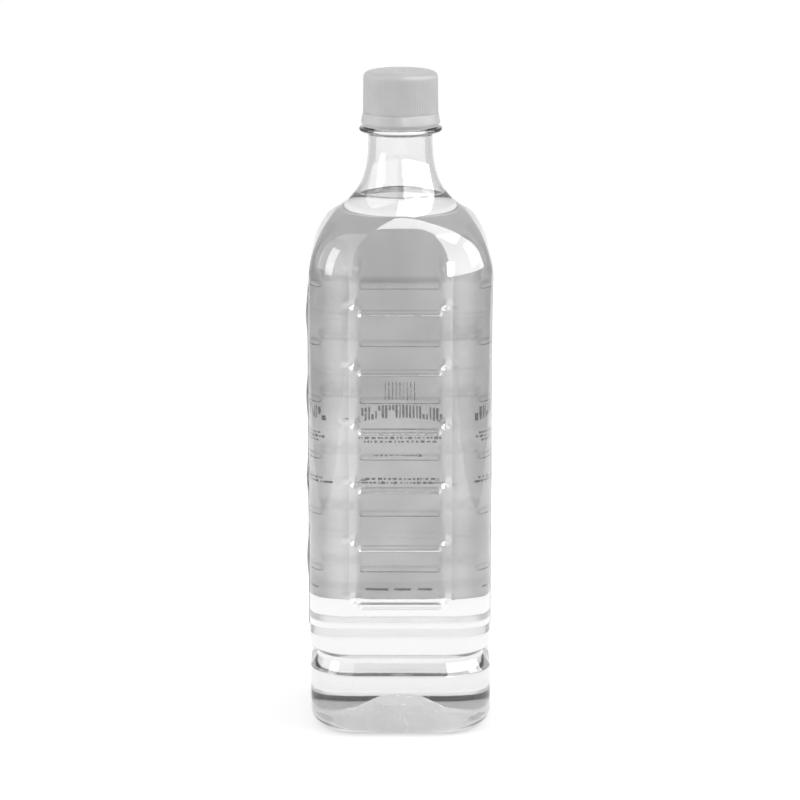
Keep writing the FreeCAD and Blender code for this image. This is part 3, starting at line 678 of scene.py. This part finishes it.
# ================================================================== the pieces
def make_bottle(material, cloudy):
    """Build the bottle's one wall: up the outside, over the mouth and down the inside."""
    outside = lower_rows(0) + upper_rows(0, NECK_RADIUS)[:-1]
    inside = lower_rows(WALL) + upper_rows(WALL, BORE_RADIUS)
    rows = outside + [(NECK_RADIUS, RING_BOTTOM)] + finish_rows() + inside[::-1]
    rings = [ring(half_width, height) for half_width, height in rows]
    start = Vector((0, 0, PUSH_UP_HEIGHT))
    end = Vector((0, 0, PUSH_UP_HEIGHT + WALL))
    points, faces = closed_mesh(rings, start, end)
    piece = new_piece("BottleWall", points, faces, material)
    # The middle of the underside gets the cloudy plastic with its painted glow.
    piece.data.materials.append(cloudy)
    for face in piece.data.polygons:
        in_the_middle = math.hypot(face.center.x, face.center.y) < PUSH_UP_RADIUS + WALL
        if in_the_middle and face.center.z < PUSH_UP_HEIGHT + 2 * WALL:
            face.material_index = 1
    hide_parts("bottle")
    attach(piece, "root")


def make_liquid(material):
    """Build the liquid: its skin lies within the wall, and its surface climbs at the edge."""
    skin = lower_rows(LIQUID_OVERLAP) + upper_rows(LIQUID_OVERLAP, NECK_RADIUS - LIQUID_OVERLAP)
    rim = LIQUID_LEVEL
    rows = [(half_width, height) for half_width, height in skin if height < rim - 0.2 * MM]
    edge = neck_radius(rim, LIQUID_OVERLAP, NECK_RADIUS - LIQUID_OVERLAP)
    for step in range(MENISCUS_ROWS + 1):
        inward = step / MENISCUS_ROWS
        drop = MENISCUS_RISE * (1 - (1 - inward) ** 3)
        rows.append((edge - inward * MENISCUS_WIDTH, rim - drop))
    rows += [(radius, rim - MENISCUS_RISE)
             for radius in spread(edge - MENISCUS_WIDTH, 0, SURFACE_ROWS)[1:]]
    rings = [ring(half_width, height) for half_width, height in rows]
    start = Vector((0, 0, PUSH_UP_HEIGHT + LIQUID_OVERLAP))
    end = Vector((0, 0, rim - MENISCUS_RISE))
    points, faces = closed_mesh(rings, start, end)
    piece = new_piece("DistillateFill", points, faces, material)
    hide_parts("distillate")
    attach(piece, "root")


def cap_rows():
    """Follow the cap's outside from its middle down, and its inside back up."""
    shelf = CAP_TOP - CAP_DISC_STEP
    outer_top = CAP_DISC_RADIUS + CAP_EDGE_RADIUS
    score_top = SCORE_HEIGHT + SCORE_WIDTH
    inner = CAP_RADIUS - CAP_WALL
    band_inner = BAND_RADIUS - BAND_WALL
    path = rounded_path([
        (0, CAP_TOP - GATE_DEPTH, 0),
        (GATE_RADIUS - GATE_DEPTH, CAP_TOP - GATE_DEPTH, 0.1 * MM),
        (GATE_RADIUS, CAP_TOP, 0.1 * MM),
        (CAP_DISC_RADIUS, CAP_TOP, 0.05 * MM),
        (CAP_DISC_RADIUS, shelf, 0.03 * MM),
        (outer_top, shelf, 0.9 * CAP_EDGE_RADIUS),
        (CAP_RADIUS, score_top, 0.1 * MM),
        (CAP_RADIUS - SCORE_DEPTH, score_top, 0.05 * MM),
        (CAP_RADIUS - SCORE_DEPTH, SCORE_HEIGHT, 0.05 * MM),
        (CAP_RADIUS, SCORE_HEIGHT, 0.1 * MM),
        (BAND_RADIUS, CAP_FOOT + BAND_EDGE, BAND_EDGE / 2),
        (BAND_RADIUS - BAND_EDGE / 2, CAP_FOOT, 0.2 * MM),
        (band_inner, CAP_FOOT, 0.1 * MM),
        (inner, SCORE_HEIGHT, 0.2 * MM),
        (inner, MOUTH_TOP, 0.2 * MM),
        (0, MOUTH_TOP, 0),
    ], steps=4)
    rows = [(row.x, row.y) for row in path[1:-1]]
    filled = []
    for (radius, height), (next_radius, next_height) in zip(rows, rows[1:]):
        parts = max(1, round(abs(next_height - height) / CAP_ROW_PITCH))
        filled += [(radius + (next_radius - radius) * part / parts,
                    height + (next_height - height) * part / parts) for part in range(parts)]
    return filled + [rows[-1]]


def make_cap(material):
    """Build the screw cap with its fine grip ribs."""
    columns = GRIP_RIBS * COLUMNS_PER_RIB
    rib_top = CAP_TOP - CAP_EDGE_RADIUS
    rib_bottom = SCORE_HEIGHT + 2 * SCORE_WIDTH
    rings = []
    for radius, height in cap_rows():
        outside = radius > CAP_DISC_RADIUS + 0.5 * CAP_EDGE_RADIUS
        ribbed = outside * bump_between(height, rib_bottom, rib_top, GRIP_FADE)
        points = []
        for column in range(columns):
            angle = 2 * math.pi * column / columns
            groove = 0.5 - 0.5 * math.cos(angle * GRIP_RIBS)
            reach = radius - GRIP_DEPTH * ribbed * groove
            points.append(Vector((reach * math.sin(angle), -reach * math.cos(angle), height)))
        rings.append(points)
    start = Vector((0, 0, CAP_TOP - GATE_DEPTH))
    end = Vector((0, 0, MOUTH_TOP))
    points, faces = closed_mesh(rings, start, end)
    piece = new_piece("ScrewCap", points, faces, material)
    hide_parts("cap")
    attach(piece, "root")


def label_way(distance, reach):
    """Return the place and outward direction this far along the label from its right front edge."""
    corner = reach - SIDE_FLAT
    turn = corner * math.pi / 2
    right = LABEL_FRONT + SIDE_FLAT
    back = 2 * SIDE_FLAT
    if distance < right:
        return Vector((reach, -LABEL_FRONT + distance)), Vector((1, 0))
    distance -= right
    if distance < turn:
        outward = Vector((math.cos(distance / corner), math.sin(distance / corner)))
        return Vector((SIDE_FLAT, SIDE_FLAT)) + corner * outward, outward
    distance -= turn
    if distance < back:
        return Vector((SIDE_FLAT - distance, reach)), Vector((0, 1))
    distance -= back
    if distance < turn:
        outward = Vector((-math.sin(distance / corner), math.cos(distance / corner)))
        return Vector((-SIDE_FLAT, SIDE_FLAT)) + corner * outward, outward
    distance -= turn
    return Vector((-reach, SIDE_FLAT - distance)), Vector((-1, 0))


def swell(place, height):
    """How far the film stands off the body here: it swells towards the left and is crinkled."""
    left = smooth_step(0.5 - place.x / (2 * HALF_WIDTH))
    rise = 0.0
    for number in range(SWELLS):
        middle = LOWEST_SWELL + number * SWELL_PITCH
        rise += SWELL_RISE * bump_between(height, middle, middle, SWELL_LENGTH / 2)
    crinkle = 0.5 + 0.5 * noise.noise(Vector((place.x, place.y, 2 * height)) / CRINKLE_WIDTH)
    return left * rise + CRINKLE_RISE * crinkle


def sheet_faces(columns, rows):
    """Return the faces of a thin closed sheet of this many columns and rows.

    The points of its inner skin come first, row by row, and then those of its outer skin.
    """
    across = columns + 1
    total = across * (rows + 1)
    faces = []
    for row in range(rows):
        for column in range(columns):
            first = row * across + column
            quad = (first, first + 1, first + 1 + across, first + across)
            faces.append(quad[::-1])
            faces.append(tuple(index + total for index in quad))
    rim = list(range(across))
    rim += [row * across + columns for row in range(1, rows + 1)]
    rim += [rows * across + column for column in range(columns - 1, -1, -1)]
    rim += [row * across for row in range(rows - 1, 0, -1)]
    for first, second in zip(rim, rim[1:] + rim[:1]):
        faces.append((first, second, second + total, first + total))
    return faces


def make_label(material):
    """Build the film: a thin closed sheet along the right side, the back and the left side.

    Its upper edge drops over the last third of the way, round to the end of the left side.
    """
    inner_reach = HALF_WIDTH + LABEL_GAP
    corner = inner_reach - SIDE_FLAT
    length = 2 * (LABEL_FRONT + SIDE_FLAT) + 2 * SIDE_FLAT + math.pi * corner
    skins = ([], [])
    for row in range(LABEL_ROWS + 1):
        for column in range(LABEL_COLUMNS + 1):
            distance = length * column / LABEL_COLUMNS
            top = LABEL_TOP - LABEL_SLOPE * smooth_step(3 * column / LABEL_COLUMNS - 2)
            height = LABEL_BOTTOM + (top - LABEL_BOTTOM) * row / LABEL_ROWS
            place, outward = label_way(distance, inner_reach)
            off = swell(place, height)
            for skin, thickness in zip(skins, (0, LABEL_THICKNESS)):
                spot = place + outward * (off + thickness)
                skin.append(Vector((spot.x - lean(height), spot.y, height)))
    faces = sheet_faces(LABEL_COLUMNS, LABEL_ROWS)
    piece = new_piece("LabelFilm", skins[0] + skins[1], faces, material)
    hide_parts("label")
    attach(piece, "root")


def arched_bars(chance):
    """Return a row of upright bars in a shallow arch, and finer bars over its middle."""
    marks = []
    bars = 25
    pitch = 1.4
    tallest = 5.4
    for place in range(bars):
        across = (place - bars // 2) * pitch
        height = 122.3 - 2.2 * (across / 19) ** 2
        tall = chance.choice((tallest, tallest, 3.2, 2.2))
        height += chance.choice((-1, 1)) * (tallest - tall) / 2
        marks.append((across, height, chance.uniform(0.6, 1.1), tall))
    fine_bars = 9
    fine_pitch = 1.5
    for place in range(fine_bars):
        across = (place - fine_bars // 2) * fine_pitch
        marks.append((across, 130.7, chance.uniform(0.2, 0.4), 7.5))
    return marks


def tick_lines(chance):
    """Return lines of small ticks, each at its height and out to its reach on both sides."""
    marks = []
    for height, reach in ((112.6, 16), (111.0, 17), (109.4, 15), (93.6, 16), (92.0, 17), (103.5, 9)):
        across = -reach
        while across < reach:
            width = chance.uniform(0.4, 1.8)
            marks.append((across + width / 2, height, width, chance.uniform(0.6, 1.1)))
            across += width + chance.uniform(0.3, 1.1)
    return marks


def plain_dashes():
    """Return three dashes at the lower edge, and a slightly wavy rule towards the left side."""
    marks = [(across, 46.3, width, 0.9) for across, width in ((-10.5, 6.0), (-1.0, 7.0), (9.5, 9.5))]
    for place in range(12):
        marks.append((22 + place * 1.5, 112.4 + 0.5 * math.sin(place), 1.45, 0.6))
    return marks


def side_ticks(chance):
    """Return short ticks up the front edges of both sides, and up both back corners."""
    marks = []
    for side in (-1, 1):
        for place in range(20):
            height = 68 + 3.8 * place + chance.uniform(-0.6, 0.6)
            width = chance.uniform(1.5, 5.0)
            marks.append((side * chance.uniform(70, 78), height, width, 1.2))
            marks.append((side * chance.uniform(24, 40), height, width, 0.9))
    return marks


def print_marks():
    """Lay out the print's plain bars and ticks: (distance along the film, height, width, tall).

    Each part gives millimetres. Distances are measured from the middle of the back panel, and grow
    towards the left side.
    """
    chance = random.Random(PRINT_SEED)
    marks = arched_bars(chance)
    marks += tick_lines(chance)
    marks += plain_dashes()
    marks += side_ticks(chance)
    return [tuple(size * MM for size in mark) for mark in marks]


def make_print(material):
    """Print the marks on the side of the film that faces the bottle, as thin closed patches."""
    reach = HALF_WIDTH + LABEL_GAP
    middle = LABEL_FRONT + 2 * SIDE_FLAT + (reach - SIDE_FLAT) * math.pi / 2
    points = []
    faces = []
    for across, height, width, tall in print_marks():
        parts = max(1, math.ceil(width / INK_STEP))
        first = len(points)
        for step in range(parts + 1):
            place, outward = label_way(middle + across - width / 2 + width * step / parts, reach)
            for level in (height - tall / 2, height + tall / 2):
                off = swell(place, level) - INK_GAP
                for depth in (off - INK_THICKNESS, off):
                    spot = place + outward * depth
                    points.append(Vector((spot.x - lean(level), spot.y, level)))
        for step in range(parts):
            low_in, low_out, high_in, high_out = range(first + 4 * step, first + 4 * step + 4)
            for start, end in ((low_out, high_out), (high_out, high_in), (high_in, low_in),
                               (low_in, low_out)):
                faces.append((start, end, end + 4, start + 4))
        last = first + 4 * parts
        faces.append((first, first + 2, first + 3, first + 1))
        faces.append((last + 1, last + 3, last + 2, last))
    piece = new_piece("LabelPrint", points, faces, material, smooth=False)
    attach(piece, "root")


# ================================================================== the stage
def make_floor():
    """Roll out a strip of plain pale paper that meets the white backdrop."""
    corners = [(-PAPER_NEAR_HALF, -PAPER_NEAR, 0), (PAPER_NEAR_HALF, -PAPER_NEAR, 0),
               (PAPER_FAR_HALF, PAPER_FAR, 0), (-PAPER_FAR_HALF, PAPER_FAR, 0)]
    material = bpy.data.materials.new("PaleFloor")
    material.use_nodes = True
    nodes = material.node_tree.nodes
    links = material.node_tree.links
    shader = nodes["Principled BSDF"]
    shader.inputs["Base Color"].default_value = (0.8, 0.8, 0.8, 1)
    shader.inputs["Roughness"].default_value = 0.9
    shader.inputs["Specular IOR Level"].default_value = 0.0
    shader.inputs["Emission Color"].default_value = (1, 1, 1, 1)
    seen = seen_directly(nodes, links)
    scale = nodes.new("ShaderNodeMath")
    scale.operation = "MULTIPLY"
    scale.inputs[1].default_value = PAPER_GLOW
    links.new(seen, scale.inputs[0])
    links.new(scale.outputs[0], shader.inputs["Emission Strength"])
    mesh = bpy.data.meshes.new("Floor")
    mesh.from_pydata(corners, [], [(0, 1, 2, 3)])
    mesh.materials.append(material)
    floor = bpy.data.objects.new("Floor", mesh)
    floor.location.z = -0.1 * MM
    bpy.context.scene.collection.objects.link(floor)


def seen_directly(nodes, links):
    """Return an output that is 1 for rays from the camera, reflections and through clear things."""
    path = nodes.new("ShaderNodeLightPath")
    total = path.outputs["Is Camera Ray"]
    for name in ("Is Glossy Ray", "Is Transmission Ray"):
        larger = nodes.new("ShaderNodeMath")
        larger.operation = "MAXIMUM"
        links.new(total, larger.inputs[0])
        links.new(path.outputs[name], larger.inputs[1])
        total = larger.outputs[0]
    return total


def make_world():
    """Light everything from all round, and show plain white behind and light grey beside it."""
    world = bpy.data.worlds.new("Studio")
    bpy.context.scene.world = world
    world.use_nodes = True
    nodes = world.node_tree.nodes
    links = world.node_tree.links
    background = nodes["Background"]
    background.inputs["Color"].default_value = (1, 1, 1, 1)
    way = nodes.new("ShaderNodeTexCoord")
    parts = nodes.new("ShaderNodeSeparateXYZ")
    links.new(way.outputs["Generated"], parts.inputs["Vector"])
    studio = nodes.new("ShaderNodeMapRange")
    studio.interpolation_type = "SMOOTHSTEP"
    studio.inputs["From Min"].default_value = BACKDROP_START
    studio.inputs["From Max"].default_value = BACKDROP_FULL
    studio.inputs["To Min"].default_value = STUDIO_SIDES
    studio.inputs["To Max"].default_value = BACKDROP
    links.new(parts.outputs["Y"], studio.inputs["Value"])
    span = nodes.new("ShaderNodeMapRange")
    span.inputs["To Min"].default_value = AMBIENT
    links.new(studio.outputs["Result"], span.inputs["To Max"])
    links.new(seen_directly(nodes, links), span.inputs["Value"])
    links.new(span.outputs["Result"], background.inputs["Strength"])


def make_softbox(name, place, size, energy):
    """Hang a rectangular soft light that faces the middle of the bottle."""
    light = bpy.data.lights.new(name, "AREA")
    light.shape = "RECTANGLE"
    light.size, light.size_y = size
    light.energy = energy
    lamp = bpy.data.objects.new(name, light)
    lamp.location = place
    aim = Vector((0, 0, CAP_TOP / 2)) - Vector(place)
    lamp.rotation_euler = aim.to_track_quat("-Z", "Y").to_euler()
    bpy.context.scene.collection.objects.link(lamp)
    return lamp


def make_panel(name, place, facing, size, energy):
    """Stand a large panel that only shows as a glint on glossy surfaces."""
    lamp = make_softbox(name, place, size, energy)
    lamp.rotation_euler = Vector(facing).to_track_quat("-Z", "Y").to_euler()
    lamp.visible_diffuse = False
    lamp.visible_transmission = False


def make_camera():
    """Stand the camera in front of the bottle, looking a little down."""
    data = bpy.data.cameras.new("Camera")
    data.lens = CAMERA_LENS
    camera = bpy.data.objects.new("Camera", data)
    camera.location = (CAMERA_ASIDE, -CAMERA_REACH, CAMERA_HEIGHT)
    camera.rotation_euler = (math.pi / 2 - CAMERA_TILT, 0, 0)
    bpy.context.scene.collection.objects.link(camera)
    bpy.context.scene.camera = camera


def make_scene():
    """Set the stage, and build every piece of the bottle on it."""
    make_camera()
    make_world()
    make_floor()
    for softbox in SOFTBOXES:
        make_softbox(*softbox)
    for panel in PANELS:
        make_panel(*panel)
    make_bottle(pet_material(), cloudy_pet_glow_material())
    make_liquid(liquid_material())
    make_cap(cap_material())
    make_label(film_material())
    make_print(ink_material())
    bpy.context.scene.view_settings.view_transform = "Standard"


make_scene()
